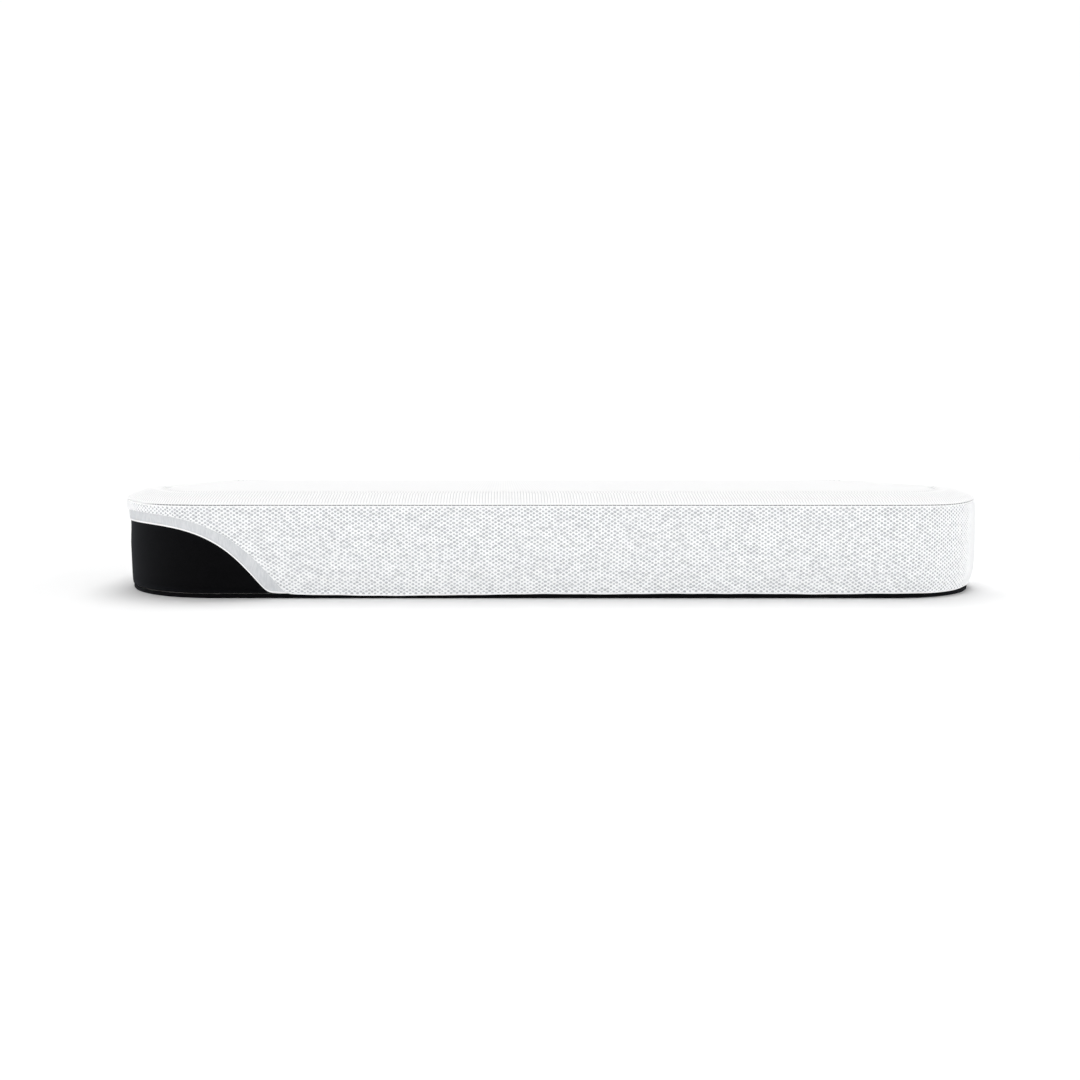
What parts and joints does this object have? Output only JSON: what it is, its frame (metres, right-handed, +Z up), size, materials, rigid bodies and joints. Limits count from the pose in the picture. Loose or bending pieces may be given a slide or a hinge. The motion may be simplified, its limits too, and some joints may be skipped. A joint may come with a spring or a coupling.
{
  "type": "memory foam mattress",
  "caption": "Small foam mattress with wide round corners: black-lined foam core under a removable white cover with ribbed top, mesh sides and a grey hem tape drawn up at a corner.",
  "frame": {"origin": "on the floor under the middle of the mattress", "axes": "+X along the length, +Z up, -Y towards the long side on which one corner of the hem is drawn up"},
  "size_m": [1.2, 0.6, 0.134],
  "materials": {
    "support_foam": "matte open-cell polyurethane foam",
    "memory_foam": "matte viscoelastic foam",
    "liner_cloth": "smooth black close-knit cloth with a fine speckle",
    "liner_thread": "black overlocked seam",
    "top_knit": "white knit with fine ribs",
    "wadding": "lofted polyester fibre",
    "backing": "thin white non-woven cloth",
    "seam_thread": "white overlocked thread, set back in a crease",
    "spacer_mesh": "white three-layer mesh with staggered open cells",
    "hem_elastic": "light grey cross-ribbed elastic tape"
  },
  "bodies": {
    "core": {"support_foam": "support_foam", "memory_foam_layer": "memory_foam", "liner_top_panel": "liner_cloth", "liner_border": "liner_cloth", "liner_base_panel": "liner_cloth", "liner_base_seam": "liner_thread"},
    "cover": {"top_panel": "top_knit", "top_wadding": "wadding", "top_backing": "backing", "edge_seam": "seam_thread", "mesh_border_front": "spacer_mesh", "mesh_border_back": "spacer_mesh", "hem_tape": "hem_elastic"}
  },
  "joints": [
    {"name": "cover_lift", "type": "slide", "parent": "core", "child": "cover", "axis": [0, 0, 1], "range_m": [0, 0.15]}
  ]
}
